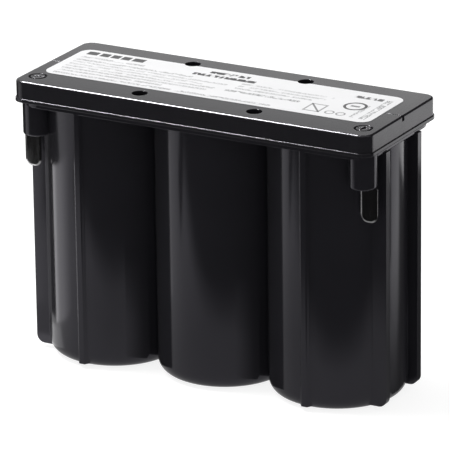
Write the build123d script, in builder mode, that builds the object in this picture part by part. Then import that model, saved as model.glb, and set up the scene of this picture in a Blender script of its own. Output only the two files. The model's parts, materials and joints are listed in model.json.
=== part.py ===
"""Three-cell, 6 V sealed lead-acid monobloc battery.

Three round wells in a row share one jar under a flat rectangular cover. Each well holds a spiral
wound cell, closed by an inner cover with a rubber relief valve. The cells are joined in series,
and two quick-connect tabs hang below bosses at the front corners.

Frame: +X along the row of cells (positive terminal at +X), -Y is the terminal side, +Z up.
Origin: on the resting plane, below the centre of the cover. Millimetres.
"""

from build123d import *
import math
import os

# ---- overall -----------------------------------------------------------------------------------
LENGTH = 139.2  # over the cover's lip
WIDTH = 52.0
HEIGHT = 102.4  # to the cover's flat top

# ---- cells and jar -----------------------------------------------------------------------------
CELL_NAMES = ("left", "middle", "right")
CELL_PITCH = 44.05
CELL_RADIUS = 24.0
WELL_RADIUS = 21.2
FLOOR_THICKNESS = 2.2
BASE_ROUNDING = 5.0
WELL_ROUNDING = 2.5
CELL_X = (-CELL_PITCH, 0.0, CELL_PITCH)

COLLAR_BOTTOM = 93.3
JAR_TOP = 94.8
COLLAR_LENGTH = LENGTH - 1.6
COLLAR_WIDTH = 50.0
COLLAR_CORNER = 9.0
MOUTH_RADIUS = 22.6
MOUTH_FLOOR = 91.6

# ---- fins on the two ends and ribs on the two end cells -----------------------------------------
FIN_REACH = LENGTH / 2 - 0.1
FIN_INNER, FIN_OUTER = 10.4, 13.1
FIN_BOTTOM = 1.6
FIN_CORNER = 3.0
RIB_BASE, RIB_TIP = 4.6, 2.2
RIB_ROOT = 23.2
RIB_CORNER = 1.6

# ---- terminals ---------------------------------------------------------------------------------
BOSS_X, BOSS_Y = 63.65, -18.7
BOSS_RADIUS = 4.9
BOSS_BOTTOM = 82.0
BOSS_ROUNDING = 0.8
BOSS_BORE = 3.4
BOSS_FLOOR = 84.4
TAB_WIDTH, TAB_THICKNESS = 6.35, 0.8
TAB_X = {"negative": 65.4, "positive": 66.0}
TAB_TIP = 69.8
TAB_TIP_ROUNDING = 2.7
TAB_BEVEL_RUN, TAB_BEVEL_DROP = 0.6, 0.25
NECK_WIDTH = 4.0
NECK_X = 64.6
LEAD_BOTTOM = 96.0
LEAD_THICKNESS = 0.8
LEAD_EYE_RADIUS = 4.3

# ---- cover -------------------------------------------------------------------------------------
LIP_REACH = 0.4
LIP_HEIGHT = 1.2
COVER_CORNER = 4.0
COVER_EDGE = 0.7
COVER_WALL = 1.8
COVER_TOP_THICKNESS = 2.2
HOLE_X, HOLE_Y = 22.3, 18.5
HOLE_RADIUS = 2.8
HOLE_TUBE_RADIUS = 4.2
MARK_X, MARK_Y = 63.4, -17.8
MARK_RADIUS = 3.3
MARK_LINE = 0.8
MARK_DEPTH = 0.6
GROOVE_WIDTH = 0.4
NOTCH_RADIUS = 0.8
NOTCH_DEPTH = 1.8

# ---- label -------------------------------------------------------------------------------------
LABEL_CENTRE = (-1.3, 2.0)
LABEL_SIZE = (126.8, 30.0)
LABEL_CORNER = 4.0
LABEL_THICKNESS = 0.12

# ---- inner cover and relief valves ---------------------------------------------------------------
INNER_COVER_THICKNESS = 2.4
FIT_GAP = 0.1
NECK_RADIUS = 4.0
NECK_BORE = 1.5
NECK_TOP = 97.6
VALVE_GAP = 0.05  # running fit of the cap's skirt on the neck
VALVE_RADIUS = 5.6
VALVE_FOOT = 94.6
VALVE_TOP = 99.2
VALVE_RIB_RADIUS = 6.1
VALVE_RIB_HEIGHT = 0.9

# ---- wound cells ---------------------------------------------------------------------------------
PLATE_BOTTOM, PLATE_TOP = 5.0, 80.0
SEPARATOR_BOTTOM, SEPARATOR_TOP = 4.0, 81.0
POSITIVE_THICKNESS = 1.0
NEGATIVE_THICKNESS = 0.85
SEPARATOR_THICKNESS = 0.85
LAYER_GAP = 0.03
CORE_RADIUS = 1.7
HALF_TURNS = 9
LUG_WIDTH = 3.0
LUG_TOP = 83.5
STRAP_TOP = 86.5
STRAP_NEAR, STRAP_FAR = 4.0, 17.2
STRAP_WIDTH = 6.0
LINK_REACH = 8.5
LINK_TOP = 89.5
LINK_NOTCH_WIDTH = 6.4
TONGUE_THICKNESS = 1.4
POST_X = 58.0
POST_RADIUS = 2.8
POST_TOP = 97.2
SEAL_RADIUS = 4.8
SEAL_TOP = 95.4

COVER_UNDERSIDE = HEIGHT - COVER_TOP_THICKNESS
INNER_COVER_TOP = MOUTH_FLOOR + INNER_COVER_THICKNESS
PITCH_PER_HALF_TURN = (
    POSITIVE_THICKNESS + NEGATIVE_THICKNESS + 2 * SEPARATOR_THICKNESS + 4 * LAYER_GAP
) / 2

# Radial start of each layer, outward from the core: positive, separator, negative, separator.
POSITIVE_START = 0.0
INNER_SEPARATOR_START = POSITIVE_START + POSITIVE_THICKNESS + LAYER_GAP
NEGATIVE_START = INNER_SEPARATOR_START + SEPARATOR_THICKNESS + LAYER_GAP
OUTER_SEPARATOR_START = NEGATIVE_START + NEGATIVE_THICKNESS + LAYER_GAP

os.makedirs("parts", exist_ok=True)


def save(part, name):
    """Label a finished piece and write its STEP file."""
    part.label = name
    export_step(part, f"parts/{name}.step")


def upright_plane(x, y, z):
    """A plane through a point that faces the front, with its local Y pointing up."""
    return Plane((x, y, z), x_dir=(1, 0, 0), z_dir=(0, -1, 0))


def row_of_discs(radius):
    """Sketch the joined outline of one disc for each cell."""
    with Locations(*[(x, 0) for x in CELL_X]):
        Circle(radius)


def on_both_ends(x, y):
    """The same plan point at the left and the right end."""
    return Locations((-x, y), (x, y))


# ---- jar -----------------------------------------------------------------------------------------
with BuildPart() as jar:
    for cell_x in CELL_X:
        with BuildSketch(upright_plane(cell_x, 0, 0)) as can_profile:
            Rectangle(CELL_RADIUS, COLLAR_BOTTOM, align=(Align.MIN, Align.MIN))
            outer_foot = can_profile.vertices().group_by(Axis.Y)[0].sort_by(Axis.X)[-1]
            fillet(outer_foot, BASE_ROUNDING)
        revolve(axis=Axis((cell_x, 0, 0), (0, 0, 1)))

    # Four fins reach out to the ends, two on each end cell.
    for side in (-1, 1):
        for fin_side in (-1, 1):
            fin_face = Plane.XZ.offset(-fin_side * (FIN_INNER + FIN_OUTER) / 2)
            with BuildSketch(fin_face) as fin_profile:
                with Locations((side * (CELL_PITCH + FIN_REACH) / 2, FIN_BOTTOM)):
                    Rectangle(
                        FIN_REACH - CELL_PITCH,
                        COLLAR_BOTTOM - FIN_BOTTOM,
                        align=(Align.CENTER, Align.MIN),
                    )
                low_corners = fin_profile.vertices().group_by(Axis.Y)[0]
                fillet(low_corners.sort_by(Axis.X)[0 if side < 0 else -1], FIN_CORNER)
            extrude(amount=(FIN_OUTER - FIN_INNER) / 2, both=True)

    # A tapering rib runs down the front and the back of each end cell.
    for rib_x in (CELL_X[0], CELL_X[-1]):
        for face in (-1, 1):
            with BuildSketch(Plane.XY.offset(RIB_CORNER)) as rib_plan:
                with BuildLine():
                    Polyline(
                        (rib_x - RIB_BASE / 2, face * RIB_ROOT),
                        (rib_x - RIB_TIP / 2, face * COLLAR_WIDTH / 2),
                        (rib_x + RIB_TIP / 2, face * COLLAR_WIDTH / 2),
                        (rib_x + RIB_BASE / 2, face * RIB_ROOT),
                        close=True,
                    )
                make_face()
                fillet(rib_plan.vertices().sort_by(Axis.Y)[:2] if face < 0
                       else rib_plan.vertices().sort_by(Axis.Y)[-2:], 0.5)
            extrude(amount=COLLAR_BOTTOM - RIB_CORNER)

    # Collar that the cover is welded to.
    with BuildSketch(Plane.XY.offset(COLLAR_BOTTOM)):
        RectangleRounded(COLLAR_LENGTH, COLLAR_WIDTH, COLLAR_CORNER)
    extrude(amount=JAR_TOP - COLLAR_BOTTOM)

    # Terminal bosses under the front corners, with a rounded foot.
    for side in (-1, 1):
        with BuildSketch(upright_plane(side * BOSS_X, BOSS_Y, BOSS_BOTTOM)) as boss_profile:
            Rectangle(BOSS_RADIUS, JAR_TOP - BOSS_BOTTOM, align=(Align.MIN, Align.MIN))
            boss_foot = boss_profile.vertices().group_by(Axis.Y)[0].sort_by(Axis.X)[-1]
            fillet(boss_foot, BOSS_ROUNDING)
        revolve(axis=Axis((side * BOSS_X, BOSS_Y, 0), (0, 0, 1)))

    # Wells, with a rounded floor corner.
    for cell_x in CELL_X:
        with BuildSketch(upright_plane(cell_x, 0, FLOOR_THICKNESS)) as well_profile:
            Rectangle(WELL_RADIUS, JAR_TOP - FLOOR_THICKNESS, align=(Align.MIN, Align.MIN))
            well_foot = well_profile.vertices().group_by(Axis.Y)[0].sort_by(Axis.X)[-1]
            fillet(well_foot, WELL_ROUNDING)
        revolve(axis=Axis((cell_x, 0, 0), (0, 0, 1)), mode=Mode.SUBTRACT)

    # Mouth that seats the inner cover, and the notches that the intercell links cross.
    with BuildSketch(Plane.XY.offset(MOUTH_FLOOR)):
        row_of_discs(MOUTH_RADIUS)
    extrude(amount=JAR_TOP - MOUTH_FLOOR, mode=Mode.SUBTRACT)
    with BuildSketch(Plane.XY.offset(STRAP_TOP)):
        with on_both_ends(CELL_PITCH / 2, 0):
            Rectangle(2 * LINK_REACH, LINK_NOTCH_WIDTH)
    extrude(amount=MOUTH_FLOOR - STRAP_TOP, mode=Mode.SUBTRACT)

    # Screw holes through the collar, and the bored bosses with a slot for each tab's neck.
    with BuildSketch(Plane.XY.offset(COLLAR_BOTTOM)):
        with Locations((-HOLE_X, -HOLE_Y), (HOLE_X, -HOLE_Y), (-HOLE_X, HOLE_Y), (HOLE_X, HOLE_Y)):
            Circle(HOLE_RADIUS)
    extrude(amount=JAR_TOP - COLLAR_BOTTOM, mode=Mode.SUBTRACT)
    with BuildSketch(Plane.XY.offset(BOSS_FLOOR)):
        with on_both_ends(BOSS_X, BOSS_Y):
            Circle(BOSS_BORE)
    extrude(amount=JAR_TOP - BOSS_FLOOR, mode=Mode.SUBTRACT)
    with BuildSketch(Plane.XY.offset(BOSS_BOTTOM)):
        with on_both_ends(NECK_X, BOSS_Y):
            Rectangle(NECK_WIDTH, TAB_THICKNESS)
    extrude(amount=BOSS_FLOOR - BOSS_BOTTOM, mode=Mode.SUBTRACT)
save(jar.part, "jar")

# ---- inner cover -----------------------------------------------------------------------------------
with BuildPart() as inner_cover:
    with BuildSketch(Plane.XY.offset(MOUTH_FLOOR)):
        row_of_discs(MOUTH_RADIUS - FIT_GAP)
    extrude(amount=INNER_COVER_THICKNESS)
    with BuildSketch(Plane.XY.offset(INNER_COVER_TOP)):
        row_of_discs(NECK_RADIUS)
    extrude(amount=NECK_TOP - INNER_COVER_TOP)
    # Tongues close the notches above the intercell links.
    with BuildSketch(Plane.XY.offset(LINK_TOP)):
        with on_both_ends(CELL_PITCH / 2, 0):
            Rectangle(TONGUE_THICKNESS, STRAP_WIDTH)
    extrude(amount=MOUTH_FLOOR - LINK_TOP)
    with BuildSketch(Plane.XY.offset(MOUTH_FLOOR)):
        row_of_discs(NECK_BORE)
        with on_both_ends(POST_X, 0):
            Circle(POST_RADIUS)
    extrude(amount=NECK_TOP - MOUTH_FLOOR, mode=Mode.SUBTRACT)
save(inner_cover.part, "inner_cover")

# ---- top cover -------------------------------------------------------------------------------------
COVER_LENGTH = LENGTH - 2 * LIP_REACH
COVER_WIDTH = WIDTH - 2 * LIP_REACH

with BuildPart() as top_cover:
    with BuildSketch(Plane.XY.offset(JAR_TOP)):
        RectangleRounded(COVER_LENGTH, COVER_WIDTH, COVER_CORNER)
    extrude(amount=HEIGHT - JAR_TOP)
    fillet(top_cover.faces().sort_by(Axis.Z)[-1].edges(), COVER_EDGE)
    with BuildSketch(Plane.XY.offset(JAR_TOP)):
        RectangleRounded(LENGTH, WIDTH, COVER_CORNER + LIP_REACH)
    extrude(amount=LIP_HEIGHT)
    with BuildSketch(Plane.XY.offset(JAR_TOP)):
        RectangleRounded(
            COVER_LENGTH - 2 * COVER_WALL, COVER_WIDTH - 2 * COVER_WALL, COVER_CORNER - COVER_WALL
        )
    extrude(amount=COVER_UNDERSIDE - JAR_TOP, mode=Mode.SUBTRACT)

    # Four tubes carry the screw holes down to the collar.
    hole_points = [(x, y) for x in (-HOLE_X, HOLE_X) for y in (-HOLE_Y, HOLE_Y)]
    with BuildSketch(Plane.XY.offset(JAR_TOP)):
        with Locations(*hole_points):
            Circle(HOLE_TUBE_RADIUS)
    extrude(amount=COVER_UNDERSIDE - JAR_TOP)
    with BuildSketch(Plane.XY.offset(JAR_TOP)):
        with Locations(*hole_points):
            Circle(HOLE_RADIUS)
    extrude(amount=HEIGHT - JAR_TOP, mode=Mode.SUBTRACT)

    # Polarity marks: a ring at each front corner, with a minus on the left and a plus on the right.
    with BuildSketch(Plane.XY.offset(HEIGHT)):
        with on_both_ends(MARK_X, MARK_Y):
            Circle(MARK_RADIUS)
            Circle(MARK_RADIUS - MARK_LINE, mode=Mode.SUBTRACT)
            Rectangle(1.2 * MARK_RADIUS, MARK_LINE)
        with Locations((MARK_X, MARK_Y)):
            Rectangle(MARK_LINE, 1.2 * MARK_RADIUS)
    extrude(amount=-MARK_DEPTH, mode=Mode.SUBTRACT)

    # A fine groove crosses each end of the top, down to a small notch in the edge.
    groove_start = LABEL_SIZE[0] / 2 - 4
    with BuildSketch(Plane.XY.offset(HEIGHT)):
        with on_both_ends((groove_start + LENGTH / 2) / 2, 0):
            Rectangle(LENGTH / 2 - groove_start, GROOVE_WIDTH)
    extrude(amount=-MARK_DEPTH, mode=Mode.SUBTRACT)
    with BuildSketch(Plane.XY.offset(HEIGHT)):
        with on_both_ends(COVER_LENGTH / 2, 0):
            Circle(NOTCH_RADIUS)
    extrude(amount=-NOTCH_DEPTH, mode=Mode.SUBTRACT)
save(top_cover.part, "top_cover")

# ---- label -----------------------------------------------------------------------------------------
with BuildPart() as rating_label:
    with BuildSketch(Plane.XY.offset(HEIGHT)):
        with Locations(LABEL_CENTRE):
            RectangleRounded(*LABEL_SIZE, LABEL_CORNER)
        with Locations(*hole_points):
            Circle(HOLE_RADIUS, mode=Mode.SUBTRACT)
    extrude(amount=LABEL_THICKNESS)
save(rating_label.part, "rating_label")

# ---- terminal tabs, their posts, seals and potting ---------------------------------------------------
for polarity, side in (("negative", -1), ("positive", 1)):
    blade_plane = Plane.XZ.offset(-BOSS_Y - TAB_THICKNESS / 2)
    with BuildPart() as tab:
        with BuildSketch(blade_plane) as blade_outline:
            with Locations((side * TAB_X[polarity], TAB_TIP)):
                Rectangle(TAB_WIDTH, BOSS_BOTTOM - TAB_TIP, align=(Align.CENTER, Align.MIN))
            fillet(blade_outline.vertices().group_by(Axis.Y)[0], TAB_TIP_ROUNDING)
        extrude(amount=TAB_THICKNESS)
        for which in (0, -1):
            blade_face = tab.faces().filter_by(Axis.Y).sort_by(Axis.Y)[which]
            rim = blade_face.edges().filter_by(lambda edge: edge.center().Z < BOSS_BOTTOM - 0.01)
            chamfer(rim, TAB_BEVEL_RUN, TAB_BEVEL_DROP, reference=blade_face)
        with BuildSketch(Plane.XY.offset(BOSS_BOTTOM)):
            with Locations((side * NECK_X, BOSS_Y)):
                Rectangle(NECK_WIDTH, TAB_THICKNESS)
        extrude(amount=LEAD_BOTTOM - BOSS_BOTTOM)
    save(tab.part, f"{polarity}_terminal_tab")

    # Flat strip that joins the tab's neck to the post.
    with BuildPart() as lead:
        with BuildSketch(Plane.XY.offset(LEAD_BOTTOM)):
            with BuildLine():
                Line(
                    (side * NECK_X - NECK_WIDTH / 2, BOSS_Y - TAB_THICKNESS),
                    (side * NECK_X + NECK_WIDTH / 2, BOSS_Y - TAB_THICKNESS),
                )
                CenterArc((side * POST_X, 0), LEAD_EYE_RADIUS, 0, 360)
            make_hull()
            with Locations((side * POST_X, 0)):
                Circle(POST_RADIUS, mode=Mode.SUBTRACT)
        extrude(amount=LEAD_THICKNESS)
    save(lead.part, f"{polarity}_terminal_lead")

    with BuildPart() as post:
        with BuildSketch(Plane.XY.offset(STRAP_TOP)):
            with Locations((side * POST_X, 0)):
                Circle(POST_RADIUS)
        extrude(amount=POST_TOP - STRAP_TOP)
        chamfer(post.faces().sort_by(Axis.Z)[-1].edges(), 0.3)
    save(post.part, f"{polarity}_post")

    with BuildPart() as post_seal:
        with BuildSketch(Plane.XY.offset(INNER_COVER_TOP)):
            with Locations((side * POST_X, 0)):
                Circle(SEAL_RADIUS)
                Circle(POST_RADIUS, mode=Mode.SUBTRACT)
        extrude(amount=SEAL_TOP - INNER_COVER_TOP)
    save(post_seal.part, f"{polarity}_post_seal")

    with BuildPart() as potting:
        with BuildSketch(Plane.XY.offset(BOSS_FLOOR)):
            with Locations((side * BOSS_X, BOSS_Y)):
                Circle(BOSS_BORE)
            with Locations((side * NECK_X, BOSS_Y)):
                Rectangle(NECK_WIDTH, TAB_THICKNESS, mode=Mode.SUBTRACT)
        extrude(amount=JAR_TOP - BOSS_FLOOR)
    save(potting.part, f"{polarity}_tab_potting")


# ---- wound cells -------------------------------------------------------------------------------------
def half_turn(cell_x, index, start):
    """Three points of one half turn of the winding, for a layer that starts at a radius offset.

    Upper half turns are centred half a step left of the cell, lower ones half a step right, so
    each radius is one step larger than the last and the arcs meet smoothly.
    """
    radius = CORE_RADIUS + index * PITCH_PER_HALF_TURN + start
    upper = index % 2 == 0
    sign = 1 if upper else -1
    centre = cell_x - sign * PITCH_PER_HALF_TURN / 2
    return (centre + sign * radius, 0), (centre, sign * radius), (centre - sign * radius, 0)


def winding(cell_x, start, thickness):
    """The plan outline of one spiral layer of the winding."""
    with BuildSketch() as layer:
        with BuildLine():
            for index in range(HALF_TURNS):
                ThreePointArc(*half_turn(cell_x, index, start))
                ThreePointArc(*half_turn(cell_x, index, start + thickness))
            Line(
                half_turn(cell_x, 0, start)[0],
                half_turn(cell_x, 0, start + thickness)[0],
            )
            Line(
                half_turn(cell_x, HALF_TURNS - 1, start)[2],
                half_turn(cell_x, HALF_TURNS - 1, start + thickness)[2],
            )
        make_face()
    return layer.sketch


def make_plate(name, cell_x, start, thickness, side):
    """One wound plate with a row of lugs that stand up on one side of the cell."""
    layer = winding(cell_x, start, thickness)
    with BuildPart() as plate:
        with BuildSketch(Plane.XY.offset(PLATE_BOTTOM)):
            add(layer)
        extrude(amount=PLATE_TOP - PLATE_BOTTOM)
        with BuildSketch(Plane.XY.offset(PLATE_TOP)):
            add(layer)
            with Locations((cell_x + side * (STRAP_NEAR + STRAP_FAR) / 2, 0)):
                Rectangle(STRAP_FAR - STRAP_NEAR, LUG_WIDTH, mode=Mode.INTERSECT)
        extrude(amount=LUG_TOP - PLATE_TOP)
    save(plate.part, name)


def make_strap(name, cell_x, side):
    """The cast bar that joins one plate's lugs."""
    with BuildPart() as strap:
        with BuildSketch(Plane.XY.offset(LUG_TOP)):
            with Locations((cell_x + side * (STRAP_NEAR + STRAP_FAR) / 2, 0)):
                RectangleRounded(STRAP_FAR - STRAP_NEAR, STRAP_WIDTH, STRAP_WIDTH / 4)
        extrude(amount=STRAP_TOP - LUG_TOP)
    save(strap.part, name)


for cell_name, cell_x in zip(CELL_NAMES, CELL_X):
    make_plate(f"positive_plate_{cell_name}", cell_x, POSITIVE_START, POSITIVE_THICKNESS, 1)
    make_plate(f"negative_plate_{cell_name}", cell_x, NEGATIVE_START, NEGATIVE_THICKNESS, -1)
    make_strap(f"positive_strap_{cell_name}", cell_x, 1)
    make_strap(f"negative_strap_{cell_name}", cell_x, -1)

    inner_layer = winding(cell_x, INNER_SEPARATOR_START, SEPARATOR_THICKNESS)
    outer_layer = winding(cell_x, OUTER_SEPARATOR_START, SEPARATOR_THICKNESS)
    with BuildPart() as separator:
        with BuildSketch(Plane.XY.offset(SEPARATOR_BOTTOM)):
            add(inner_layer)
            add(outer_layer)
        extrude(amount=SEPARATOR_TOP - SEPARATOR_BOTTOM)
    save(separator.part, f"separator_{cell_name}")

    # Relief valve: a rubber cap that seats on the neck, with a grip rib round its top.
    with BuildPart() as valve:
        with BuildSketch(Plane.XY.offset(VALVE_FOOT)):
            with Locations((cell_x, 0)):
                Circle(VALVE_RADIUS)
        extrude(amount=VALVE_TOP - VALVE_FOOT)
        with BuildSketch(Plane.XY.offset(VALVE_TOP - 2 * VALVE_RIB_HEIGHT)):
            with Locations((cell_x, 0)):
                Circle(VALVE_RIB_RADIUS)
        extrude(amount=VALVE_RIB_HEIGHT)
        with BuildSketch(Plane.XY.offset(VALVE_FOOT)):
            with Locations((cell_x, 0)):
                Circle(NECK_RADIUS + VALVE_GAP)
        extrude(amount=NECK_TOP - VALVE_FOOT, mode=Mode.SUBTRACT)
    save(valve.part, f"relief_valve_{cell_name}")

# ---- intercell links -----------------------------------------------------------------------------------
for link_name, link_x in (("left", -CELL_PITCH / 2), ("right", CELL_PITCH / 2)):
    with BuildPart() as link:
        with BuildSketch(Plane.XY.offset(STRAP_TOP)):
            with Locations((link_x, 0)):
                RectangleRounded(2 * LINK_REACH, STRAP_WIDTH, STRAP_WIDTH / 4)
        extrude(amount=LINK_TOP - STRAP_TOP)
        chamfer(link.faces().sort_by(Axis.Z)[-1].edges(), 0.5)
    save(link.part, f"intercell_link_{link_name}")
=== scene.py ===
"""Three-cell sealed lead-acid monobloc battery: materials, label print, stage, light and camera."""

import json
import math

import bpy
from mathutils import Matrix, Vector

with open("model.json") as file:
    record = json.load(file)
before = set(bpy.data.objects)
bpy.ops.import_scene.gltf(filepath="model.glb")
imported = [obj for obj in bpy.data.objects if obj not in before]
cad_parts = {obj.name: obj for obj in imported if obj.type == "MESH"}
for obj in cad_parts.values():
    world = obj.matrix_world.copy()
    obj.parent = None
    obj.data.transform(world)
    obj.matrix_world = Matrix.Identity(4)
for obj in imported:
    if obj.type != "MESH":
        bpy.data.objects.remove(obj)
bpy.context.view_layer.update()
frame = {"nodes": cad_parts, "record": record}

MM = 0.001
scene = bpy.context.scene
nodes = frame["nodes"]


# ---- material helpers ---------------------------------------------------------------------------
class Graph:
    """A small wrapper that adds nodes to one material and links them by value."""

    def __init__(self, name):
        self.material = bpy.data.materials.new(name)
        self.material.use_nodes = True
        self.tree = self.material.node_tree
        self.tree.nodes.clear()
        self.output = self.tree.nodes.new("ShaderNodeOutputMaterial")
        self.position = self.add("ShaderNodeTexCoord").outputs["Object"]

    def add(self, kind, **settings):
        node = self.tree.nodes.new(kind)
        for key, value in settings.items():
            setattr(node, key, value)
        return node

    def put(self, socket, value):
        """Set a socket to a number or colour, or link it to another node's output."""
        if isinstance(value, bpy.types.NodeSocket):
            self.tree.links.new(value, socket)
        elif value is not None:
            socket.default_value = value

    def math(self, operation, a, b=None, c=None, clamp=False):
        node = self.add("ShaderNodeMath", operation=operation, use_clamp=clamp)
        for socket, value in zip(node.inputs, (a, b, c)):
            self.put(socket, value)
        return node.outputs[0]

    def times(self, first, *others):
        result = first
        for other in others:
            result = self.math("MULTIPLY", result, other)
        return result

    def total(self, first, *others):
        result = first
        for other in others:
            result = self.math("ADD", result, other)
        return result

    def above(self, value, limit):
        return self.math("GREATER_THAN", value, limit)

    def below(self, value, limit):
        return self.math("LESS_THAN", value, limit)

    def rising(self, value, edge):
        """0 before the soft edge (start, end) and 1 past it."""
        return self.spread(value, *edge, 0.0, 1.0)

    def falling(self, value, edge):
        """1 before the soft edge (start, end) and 0 past it."""
        return self.spread(value, *edge, 1.0, 0.0)

    def outside(self, mask):
        return self.math("SUBTRACT", 1.0, mask)

    def swap(self, value, other, mask):
        """The value where the mask is 0, and the other one where it is 1."""
        return self.spread(mask, 0.0, 1.0, value, other)

    def axes(self):
        node = self.add("ShaderNodeSeparateXYZ")
        self.put(node.inputs[0], self.position)
        return node.outputs

    def noise(self, scale, detail=3.0, roughness=0.5, stretch=None, distortion=0.0):
        vector = self.position
        if stretch:
            mapping = self.add("ShaderNodeMapping")
            self.put(mapping.inputs["Vector"], vector)
            mapping.inputs["Scale"].default_value = stretch
            vector = mapping.outputs[0]
        node = self.add("ShaderNodeTexNoise")
        self.put(node.inputs["Vector"], vector)
        node.inputs["Scale"].default_value = scale
        node.inputs["Detail"].default_value = detail
        node.inputs["Roughness"].default_value = roughness
        node.inputs["Distortion"].default_value = distortion
        return node.outputs["Fac"]

    def spread(self, value, low, high, new_low, new_high):
        node = self.add("ShaderNodeMapRange", clamp=True)
        for name, v in (("Value", value), ("From Min", low), ("From Max", high),
                        ("To Min", new_low), ("To Max", new_high)):
            self.put(node.inputs[name], v)
        return node.outputs["Result"]

    def mix(self, factor, a, b):
        node = self.add("ShaderNodeMix", data_type="RGBA")
        self.put(node.inputs["Factor"], factor)
        self.put(node.inputs["A"], a)
        self.put(node.inputs["B"], b)
        return node.outputs["Result"]

    def bump(self, height, distance, strength=1.0, normal=None):
        node = self.add("ShaderNodeBump")
        self.put(node.inputs["Height"], height)
        node.inputs["Distance"].default_value = distance
        node.inputs["Strength"].default_value = strength
        self.put(node.inputs["Normal"], normal)
        return node.outputs["Normal"]

    def rounded(self, radius):
        node = self.add("ShaderNodeBevel", samples=6)
        node.inputs["Radius"].default_value = radius
        return node.outputs["Normal"]

    def surface(self, **inputs):
        shader = self.add("ShaderNodeBsdfPrincipled")
        for name, value in inputs.items():
            self.put(shader.inputs[name.replace("_", " ")], value)
        self.tree.links.new(shader.outputs[0], self.output.inputs["Surface"])
        return self.material


def rgb(r, g=None, b=None):
    return (r, r if g is None else g, r if b is None else b, 1.0)


# ---- materials ----------------------------------------------------------------------------------
NOISE_RANGE = (0.3, 0.7)  # where nearly all of a noise texture's values lie
ABS_IOR = 1.52


def moulded_black(name, tone, rough, grain, edge, tint):
    """Black moulded ABS: even colour, slightly uneven sheen, faint flow and grain."""
    g = Graph(name)
    cloud = g.noise(55, 4, 0.55)
    dark = rgb(tone * 0.85, tone * 0.83, tone * 0.98)
    light = rgb(tone * 1.15, tone * 1.12, tone * 1.35)
    sheen = g.spread(g.noise(140, 5, 0.6), *NOISE_RANGE, rough * 0.85, rough * 1.15)
    fine = g.noise(2600, 2, 0.5)
    wave = g.noise(48, 2, 0.4)
    normal = g.bump(fine, grain * MM, 0.5, g.rounded(edge * MM))
    normal = g.bump(wave, 0.05 * MM, 0.35, normal)
    return g.surface(Base_Color=g.mix(cloud, dark, light), Roughness=sheen, Normal=normal, IOR=ABS_IOR,
                     Specular_Tint=tint)


# Print on the label, in millimetres on the label's plane.
TEXT_ROWS = [  # x from, x to, y middle, height, darkness
    (-61.5, -36.0, 8.6, 1.6, 0.50),
    (-61.5, -15.0, 5.4, 1.5, 0.52),
    (-61.5, 0.0, 2.8, 1.5, 0.42),
    (-61.5, -8.0, 0.2, 1.5, 0.40),
    (-61.5, -2.0, -2.4, 1.5, 0.46),
    (-61.5, -4.0, -5.0, 1.5, 0.50),
    (-61.5, -20.0, -7.6, 1.5, 0.52),
    (-61.5, 24.0, -10.6, 1.6, 0.55),
    (4.0, 40.0, 6.2, 1.4, 0.40),
    (4.0, 38.0, 3.6, 1.4, 0.42),
    (4.0, 34.0, 1.0, 1.4, 0.45),
    (2.0, 31.0, -2.4, 1.8, 0.70),
]
BOLD_ROWS = [
    (-12.0, 3.5, 13.0, 2.2, 1.0),
    (-17.0, 7.5, 9.4, 2.3, 1.0),
    (45.0, 56.0, 11.4, 2.4, 0.9),
]
TEXT_COLUMNS = [  # x middle, width, y from, y to, darkness
    (54.2, 1.6, -9.5, 4.0, 0.55),
    (58.4, 2.4, -10.0, 12.0, 0.65),
]
HEADING_X = [(-61.5, -57.2), (-56.2, -52.6), (-51.8, -48.4), (-47.6, -44.2), (-43.2, -38.6)]
HEADING_Y = (11.6, 15.0)
HEADING_DARKNESS = 0.97
RINGS = [  # x, y, radius, half of the line's width, darkness
    (50.3, 1.6, 3.7, 0.5, 0.95),
    (45.4, -8.0, 1.5, 0.3, 0.65),
    (49.6, -8.0, 1.5, 0.3, 0.65),
]
RING_BAR, RING_BAR_DARKNESS = (48.6, 52.0, 0.9, 2.3), 0.75  # x from, x to, y from, y to
BOX_OUTSIDE, BOX_INSIDE, BOX_DARKNESS = (35.6, 42.0, -9.6, -1.6), (36.3, 41.3, -8.9, -2.3), 0.6
SLASH_MIDDLE, SLASH_SLOPE, SLASH_HALF_LINE = (38.8, -5.6), -1.25, 0.55
SLASH_HALF_SIZE, SLASH_DARKNESS = (3.2, 4.0), 0.8
WORD_GAPS = 330  # noise scale that breaks a row into words
PAPER_DARK, PAPER_LIGHT, INK = (0.78, 0.78, 0.79), (0.84, 0.84, 0.85), (0.02, 0.02, 0.022)


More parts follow.
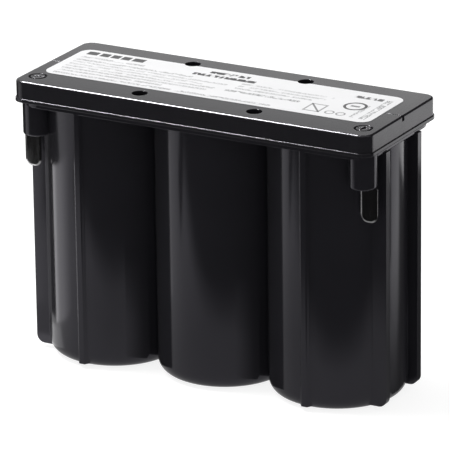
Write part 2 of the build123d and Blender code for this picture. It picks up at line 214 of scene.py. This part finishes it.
def label_film():
    g = Graph("label_film")
    x, y, _ = g.axes()
    x, y = g.math("MULTIPLY", x, 1 / MM), g.math("MULTIPLY", y, 1 / MM)

    def block(x0, x1, y0, y1):
        return g.times(g.math("COMPARE", x, (x0 + x1) / 2, (x1 - x0) / 2),
                       g.math("COMPARE", y, (y0 + y1) / 2, (y1 - y0) / 2))

    def ring(cx, cy, radius, half_line):
        dx, dy = g.math("SUBTRACT", x, cx), g.math("SUBTRACT", y, cy)
        away = g.math("SQRT", g.total(g.times(dx, dx), g.times(dy, dy)))
        return g.math("COMPARE", away, radius, half_line)

    def slash():
        cx, cy = SLASH_MIDDLE
        half_width, half_height = SLASH_HALF_SIZE
        rise = g.times(g.math("SUBTRACT", x, cx), SLASH_SLOPE)
        off = g.math("SUBTRACT", g.math("SUBTRACT", y, cy), rise)
        line = g.math("COMPARE", off, 0.0, SLASH_HALF_LINE)
        return g.times(line, block(cx - half_width, cx + half_width, cy - half_height, cy + half_height))

    def rows(table):
        return g.total(*[g.times(block(x0, x1, mid - tall / 2, mid + tall / 2), dark)
                         for x0, x1, mid, tall, dark in table])

    def columns(table):
        return g.total(*[g.times(block(mid - wide / 2, mid + wide / 2, y0, y1), dark)
                         for mid, wide, y0, y1, dark in table])

    # Rows of strokes too small to read, broken into words.
    strokes = g.spread(g.noise(2300, 1, 0.5, stretch=(1.0, 0.55, 1.0)), 0.42, 0.56, 0.25, 1.0)
    words = g.rising(g.noise(WORD_GAPS, 0, 0.5, stretch=(1.0, 2.2, 1.0)), (0.34, 0.38))
    small = g.times(rows(TEXT_ROWS), strokes, words)
    dashes = g.spread(g.noise(900, 0, 0.5, stretch=(1.0, 0.3, 1.0)), 0.38, 0.44, 0.1, 1.0)
    bold = g.times(rows(BOLD_ROWS), dashes)
    upright_words = g.rising(g.noise(WORD_GAPS, 0, 0.5, stretch=(2.2, 1.0, 1.0)), (0.36, 0.40))
    side = g.times(columns(TEXT_COLUMNS), strokes, upright_words)

    # A row of plain blocks as a heading, and a few plain outlines.
    heading = [g.times(block(x0, x1, *HEADING_Y), HEADING_DARKNESS) for x0, x1 in HEADING_X]
    rings = [g.times(ring(cx, cy, radius, half_line), dark) for cx, cy, radius, half_line, dark in RINGS]
    bar = g.times(block(*RING_BAR), RING_BAR_DARKNESS)
    box = g.times(g.math("SUBTRACT", block(*BOX_OUTSIDE), block(*BOX_INSIDE)), BOX_DARKNESS)
    solid = g.total(*heading, *rings, bar, box, g.times(slash(), SLASH_DARKNESS), bold)

    ink = g.math("ADD", g.total(small, side), solid, clamp=True)
    paper = g.mix(g.noise(90, 4), rgb(*PAPER_DARK), rgb(*PAPER_LIGHT))
    return g.surface(Base_Color=g.mix(ink, paper, rgb(*INK)),
                     Roughness=g.spread(g.noise(300, 4), *NOISE_RANGE, 0.36, 0.5),
                     Normal=g.bump(g.noise(1800, 3), 0.008 * MM))


def tinned():
    g = Graph("tinned_metal")
    brushed = g.noise(420, 4, 0.6, stretch=(1.0, 1.0, 0.12))
    colour = g.mix(brushed, rgb(0.36, 0.36, 0.365), rgb(0.45, 0.445, 0.45))
    rough = g.spread(brushed, *NOISE_RANGE, 0.09, 0.14)
    return g.surface(Base_Color=colour, Metallic=1.0, Roughness=rough,
                     Normal=g.bump(brushed, 0.01 * MM, 0.6, g.rounded(0.12 * MM)))


def cast_lead(name, tone):
    g = Graph(name)
    cloud = g.noise(260, 6, 0.65)
    dark = rgb(tone * 0.75, tone * 0.76, tone * 0.8)
    light = rgb(tone * 1.15, tone * 1.16, tone * 1.2)
    return g.surface(Base_Color=g.mix(cloud, dark, light), Metallic=0.85,
                     Roughness=g.spread(cloud, *NOISE_RANGE, 0.45, 0.7),
                     Normal=g.bump(g.noise(900, 5), 0.06 * MM, 0.8))


def porous(name, dark, light):
    g = Graph(name)
    grit = g.noise(1500, 6, 0.7)
    return g.surface(Base_Color=g.mix(grit, dark, light), Roughness=g.spread(grit, *NOISE_RANGE, 0.8, 0.95),
                     Normal=g.bump(grit, 0.12 * MM, 0.9))


def glass_mat():
    g = Graph("glass_mat")
    fibre = g.noise(900, 6, 0.7, stretch=(1.0, 1.0, 3.0), distortion=1.5)
    return g.surface(Base_Color=g.mix(fibre, rgb(0.74, 0.74, 0.72), rgb(0.9, 0.9, 0.88)),
                     Roughness=g.spread(fibre, *NOISE_RANGE, 0.85, 1.0), Normal=g.bump(fibre, 0.1 * MM))


def soft_dark(name, tone, rough):
    g = Graph(name)
    cloud = g.noise(300, 5, 0.6)
    return g.surface(Base_Color=g.mix(cloud, rgb(tone * 0.8), rgb(tone * 1.25)),
                     Roughness=g.spread(cloud, *NOISE_RANGE, rough * 0.9, min(1.0, rough * 1.1)),
                     Normal=g.bump(g.noise(1600, 3), 0.02 * MM, 0.6, g.rounded(0.15 * MM)))


BLACK_TONE, BLACK_EDGE = 0.011, 0.3
CASE_TINT, COVER_TINT = rgb(0.915, 0.885, 1.0), rgb(0.955, 0.94, 1.0)
SLOT_MATERIALS = {
    "case_plastic": moulded_black("case_plastic", BLACK_TONE, 0.14, 0.004, BLACK_EDGE, CASE_TINT),
    "inner_plastic": soft_dark("inner_plastic", 0.03, 0.5),
    "label_film": label_film(),
    "tinned_metal": tinned(),
    "potting_resin": soft_dark("potting_resin", 0.02, 0.2),
    "positive_paste": porous("positive_paste", rgb(0.06, 0.03, 0.02), rgb(0.16, 0.09, 0.06)),
    "negative_paste": porous("negative_paste", rgb(0.2, 0.2, 0.21), rgb(0.38, 0.39, 0.41)),
    "glass_mat": glass_mat(),
    "cast_lead": cast_lead("cast_lead", 0.42),
    "valve_rubber": soft_dark("valve_rubber", 0.02, 0.75),
}
COVER_MATERIAL = moulded_black("cover_plastic", BLACK_TONE, 0.2, 0.006, BLACK_EDGE, COVER_TINT)
SHARP_ANGLE = math.radians(32)

for entry in frame["record"]["subparts"]:
    node = nodes[entry["node"]]
    material = COVER_MATERIAL if entry["node"] == "top_cover" else SLOT_MATERIALS[entry["material_slot"]]
    node.data.materials.clear()
    node.data.materials.append(material)
    node.data.shade_smooth()
    node.data.set_sharp_from_angle(angle=SHARP_ANGLE)

# ---- stage ----------------------------------------------------------------------------------------
CAMERA_AZIMUTH, CAMERA_ELEVATION, CAMERA_ROLL = 29.287, 19.49, -0.735
CAMERA_DISTANCE = 1.562287
CAMERA_TARGET = Vector((0.000496, 0.0, 0.052343))
LENS = 360.931
SHIFT = (-0.00233, 0.00091)


def towards(azimuth, elevation=0.0):
    """Unit vector from the object towards a place seen at that azimuth: 0 is -Y and 90 is +X."""
    a, e = math.radians(azimuth), math.radians(elevation)
    return Vector((math.sin(a) * math.cos(e), -math.cos(a) * math.cos(e), math.sin(e)))


def mesh_object(name, vertices, faces, material):
    mesh = bpy.data.meshes.new(name)
    mesh.from_pydata(vertices, [], faces)
    mesh.materials.append(material)
    obj = bpy.data.objects.new(name, mesh)
    scene.collection.objects.link(obj)
    return obj


def level(name, x, y, height, material):
    """A flat rectangle at one height, between two x and two y."""
    corners = [(x[0], y[0], height), (x[1], y[0], height), (x[1], y[1], height), (x[0], y[1], height)]
    return mesh_object(name, corners, [(0, 1, 2, 3)], material)


def upright(name, start, end, low, high, material):
    """A rectangle that stands over the line between two places on the floor."""
    corners = [(*start, low), (*end, low), (*end, high), (*start, high)]
    return mesh_object(name, corners, [(0, 1, 2, 3)], material)


def only_mirrored(obj):
    """The object shows in reflections, and nowhere else."""
    obj.visible_camera = False
    obj.visible_diffuse = False
    obj.visible_shadow = False
    obj.visible_transmission = False
    return obj


def glow(name, strength=None, paint=None):
    """An evenly glowing material, or one whose glow paint(graph) works out from the place."""
    g = Graph(name)
    shader = g.add("ShaderNodeEmission")
    shader.inputs["Color"].default_value = rgb(1.0)
    g.put(shader.inputs["Strength"], paint(g) if paint else strength)
    g.tree.links.new(shader.outputs[0], g.output.inputs["Surface"])
    return g.material


def floor_paint():
    """Pale matt floor that glows a little, so that shadows on it stay faint."""
    g = Graph("floor_paint")
    soft = g.mix(g.noise(6, 3), rgb(0.3), rgb(0.32))
    return g.surface(Base_Color=soft, Roughness=0.9, Emission_Color=rgb(1.0), Emission_Strength=FLOOR_GLOW)


FLOOR_GLOW = 0.85
FLOOR = -0.0002  # just under the cells' flat bases
floor = level("stage_floor", (-4, 4), (-4, 4), FLOOR, floor_paint())
floor.visible_glossy = False

# The camera looks down, so every upright wall mirrors the floor. A second floor and some cards, which only
# reflections see, give the walls what they mirror: light round the battery, and dark past a front edge.
FORWARD = towards(CAMERA_AZIMUTH)
SIDEWAYS = towards(CAMERA_AZIMUTH + 90)
ACROSS = Vector((SIDEWAYS.x, -SIDEWAYS.y, 0.0))  # across the view as a front wall mirrors it
STUDIO_DARK = 0.012

# Places on the mirrored floor and cards, in metres. A pair is a soft edge: where it starts and where it ends.
SIDE_FADE, DEPTH_FADE = (-0.16, -0.05), (0.0, 0.05)
PATCH_LEFT, PATCH_RIGHT, PATCH_EDGE = -0.092, -0.066, (-0.028, -0.025)
GAP_X, GAP_EDGE = -0.1, (-0.037, -0.03)
FAR_GAP_X, FAR_GAP_EDGE = -0.22, (-0.094, -0.078)
RIGHT_END = 0.069
STRIP_NEAR_EDGE, STRIP_FAR_EDGE = (0.0511, 0.0521), (0.0596, 0.0726)
RIGHT_FADE, BACK_EDGE = (0.1, 0.18), (0.225, 0.24)
FRONT_EDGE, RIGHT_SIDE_EDGE, RIGHT_FRONT_EDGE = (0.085, 0.125), (0.13, 0.18), (0.02, 0.05)
BACKDROP_FADE = (0.150, 0.176)
LEFT_BOX_FRONT, LEFT_BOX_REAR = (-0.056, -0.036), (-0.026, -0.017)
FLAG_FADE, FLAG_HEIGHT_FADE = (-0.0235, -0.015), (0.016, 0.04)
SHADE_LEFT, SHADE_RIGHT, SHADE_FRONT = (-0.09, -0.084), (-0.046, -0.043), (0.045, 0.055)


def along(g, direction):
    node = g.add("ShaderNodeVectorMath", operation="DOT_PRODUCT")
    g.put(node.inputs[0], g.position)
    node.inputs[1].default_value = direction
    return node.outputs["Value"]


def mirrored_floor(g):
    """Glow of the floor as the walls mirror it."""
    x, y, _ = g.axes()
    forward, sideways, across = along(g, FORWARD), along(g, SIDEWAYS), along(g, ACROSS)
    light = g.times(g.spread(sideways, *SIDE_FADE, 0.72, 0.45), g.spread(forward, *DEPTH_FADE, 1.12, 0.88))

    # Dark behind the left end, with a bright patch close to it.
    patch = g.times(g.above(x, PATCH_LEFT), g.below(x, PATCH_RIGHT), g.rising(y, PATCH_EDGE))
    gap = g.times(g.below(x, GAP_X), g.rising(y, GAP_EDGE))
    far_gap = g.times(g.below(x, FAR_GAP_X), g.rising(y, FAR_GAP_EDGE))
    gap = g.math("MAXIMUM", gap, far_gap)
    light = g.swap(light, 0.03, g.times(gap, g.outside(patch)))
    light = g.swap(light, 1.2, patch)

    # Behind the right end the floor is bright, with a dark strip beside the rear fin.
    right = g.above(x, RIGHT_END)
    near_side = g.spread(across, *STRIP_NEAR_EDGE, 0.1, 2.0)
    far_side = g.spread(across, *STRIP_FAR_EDGE, 0.2, 1.15)
    rear = g.times(g.math("MINIMUM", near_side, far_side), g.spread(x, *RIGHT_FADE, 0.22, 1.0))
    light = g.swap(light, rear, g.times(right, g.above(y, 0.0)))
    light = g.swap(light, 1.4, g.times(right, g.rising(y, BACK_EDGE)))

    # Dark in front, and where the left tab mirrors the floor.
    right_side = g.math("MAXIMUM", g.falling(sideways, RIGHT_SIDE_EDGE), g.falling(forward, RIGHT_FRONT_EDGE))
    shade = g.times(g.rising(across, SHADE_LEFT), g.falling(across, SHADE_RIGHT))
    shade = g.times(shade, g.rising(forward, SHADE_FRONT))
    lit = g.times(g.falling(forward, FRONT_EDGE), right_side, g.outside(shade))
    return g.total(g.times(light, lit), STUDIO_DARK)


def mirrored_backdrop(g):
    """Glow of the backdrop as the cover's top mirrors it."""
    return g.spread(g.axes()[2], *BACKDROP_FADE, 1.0, 0.38)


def left_box(g):
    """Glow of the card beside the left cell, brightest at its rear end."""
    y = g.axes()[1]
    return g.times(g.spread(y, *LEFT_BOX_FRONT, 0.68, 1.3), g.spread(y, *LEFT_BOX_REAR, 1.12, 1.9))


def valley_flag(g):
    """Glow of the cards at the valleys, which darken each cell's edge towards its neighbour."""
    _, y, z = g.axes()
    low = g.times(g.spread(y, *FLAG_FADE, 0.34, 0.04), g.falling(z, FLAG_HEIGHT_FADE))
    return g.total(low, STUDIO_DARK)


def on_stage(forward, sideways):
    place = FORWARD * forward + SIDEWAYS * sideways
    return place.x, place.y


def level_card(name, x, y, height, strength=None, paint=None):
    return only_mirrored(level(name, x, y, height, glow(name, strength, paint)))


def card(name, start, end, low, high, strength=None, paint=None):
    return only_mirrored(upright(name, start, end, low, high, glow(name, strength, paint)))


def flag(name, x, strength=None, paint=None):
    """A card in a valley, which one of the two cells beside it mirrors."""
    return card(name, (x, FLAG_Y[0]), (x, FLAG_Y[1]), 0.0, FLAG_TOP, strength, paint)


FLAG_Y, FLAG_TOP = (-0.0256, -0.013), 0.093
CARD_TOP = 0.16
CARD_LEFT_END, CARD_CORNER, CARD_RIGHT_END = on_stage(0.15, -0.8), on_stage(0.15, 0.2), on_stage(0.02, 0.2)
BACKDROP_Y, BACKDROP_SPLIT, BACKDROP_FOOT = 0.15, 0.02, 0.105
LEFT_BOX_X, LEFT_BOX_Y, LEFT_BOX_TOP = -0.092, (-0.056, -0.0165), 0.06
KEY_CARD_HEIGHT, KEY_CARD_GLOW = 1.22, 115.0
mirrored = [
    level_card("stage_mirrored_floor", (-3, 3), (-3, 3), -0.001, paint=mirrored_floor),
    card("stage_front_card", CARD_LEFT_END, CARD_CORNER, 0.0, CARD_TOP, STUDIO_DARK),
    card("stage_right_card", CARD_CORNER, CARD_RIGHT_END, 0.0, CARD_TOP, STUDIO_DARK),
    card("stage_backdrop", (-0.5, BACKDROP_Y), (BACKDROP_SPLIT, BACKDROP_Y), BACKDROP_FOOT, 0.4,
         paint=mirrored_backdrop),
    card("stage_dark_backdrop", (BACKDROP_SPLIT, BACKDROP_Y), (0.5, BACKDROP_Y), BACKDROP_FOOT, 0.5, 0.05),
    card("stage_left_box", (LEFT_BOX_X, LEFT_BOX_Y[0]), (LEFT_BOX_X, LEFT_BOX_Y[1]), 0.0, LEFT_BOX_TOP,
         paint=left_box),
    flag("stage_left_flag", -0.0225, paint=valley_flag),
    flag("stage_left_flag_back", -0.0218, STUDIO_DARK),
    flag("stage_right_flag", 0.0215, paint=valley_flag),
    flag("stage_right_flag_back", 0.0222, STUDIO_DARK),
    level_card("stage_key_card", (-0.74, -0.53), (-0.2, 0.35), KEY_CARD_HEIGHT, KEY_CARD_GLOW),
]

WORLD_GLOW = 0.5
world = bpy.data.worlds.new("studio")
scene.world = world
world.use_nodes = True
background = world.node_tree.nodes["Background"]
background.inputs["Color"].default_value = rgb(1.0)
background.inputs["Strength"].default_value = WORLD_GLOW


def area_light(name, azimuth, elevation, distance, size, power):
    data = bpy.data.lights.new(name, "AREA")
    data.shape = "RECTANGLE"
    data.size, data.size_y = size
    data.energy = power
    light = bpy.data.objects.new(name, data)
    scene.collection.objects.link(light)
    place = towards(azimuth, elevation)
    light.location = CAMERA_TARGET + place * distance
    light.rotation_euler = place.to_track_quat("Z", "Y").to_euler()
    return light


area_light("key_softbox", azimuth=-78, elevation=61, distance=1.3, size=(0.5, 0.32), power=12.5)

# ---- camera ---------------------------------------------------------------------------------------
back = towards(CAMERA_AZIMUTH, CAMERA_ELEVATION)
right = SIDEWAYS
up = back.cross(right)
roll_cos, roll_sin = math.cos(math.radians(CAMERA_ROLL)), math.sin(math.radians(CAMERA_ROLL))
camera_x = right * roll_cos + up * roll_sin
camera_y = up * roll_cos - right * roll_sin
camera_data = bpy.data.cameras.new("camera")
camera_data.sensor_width = 36.0
camera_data.lens = LENS
camera_data.shift_x, camera_data.shift_y = SHIFT
camera_data.clip_end = 100.0
camera = bpy.data.objects.new("camera", camera_data)
scene.collection.objects.link(camera)
camera.matrix_world = Matrix((
    (camera_x.x, camera_y.x, back.x, 0.0),
    (camera_x.y, camera_y.y, back.y, 0.0),
    (camera_x.z, camera_y.z, back.z, 0.0),
    (0.0, 0.0, 0.0, 1.0),
))
camera.location = CAMERA_TARGET + back * CAMERA_DISTANCE
scene.camera = camera
scene.view_settings.view_transform = "Standard"
scene.view_settings.look = "None"
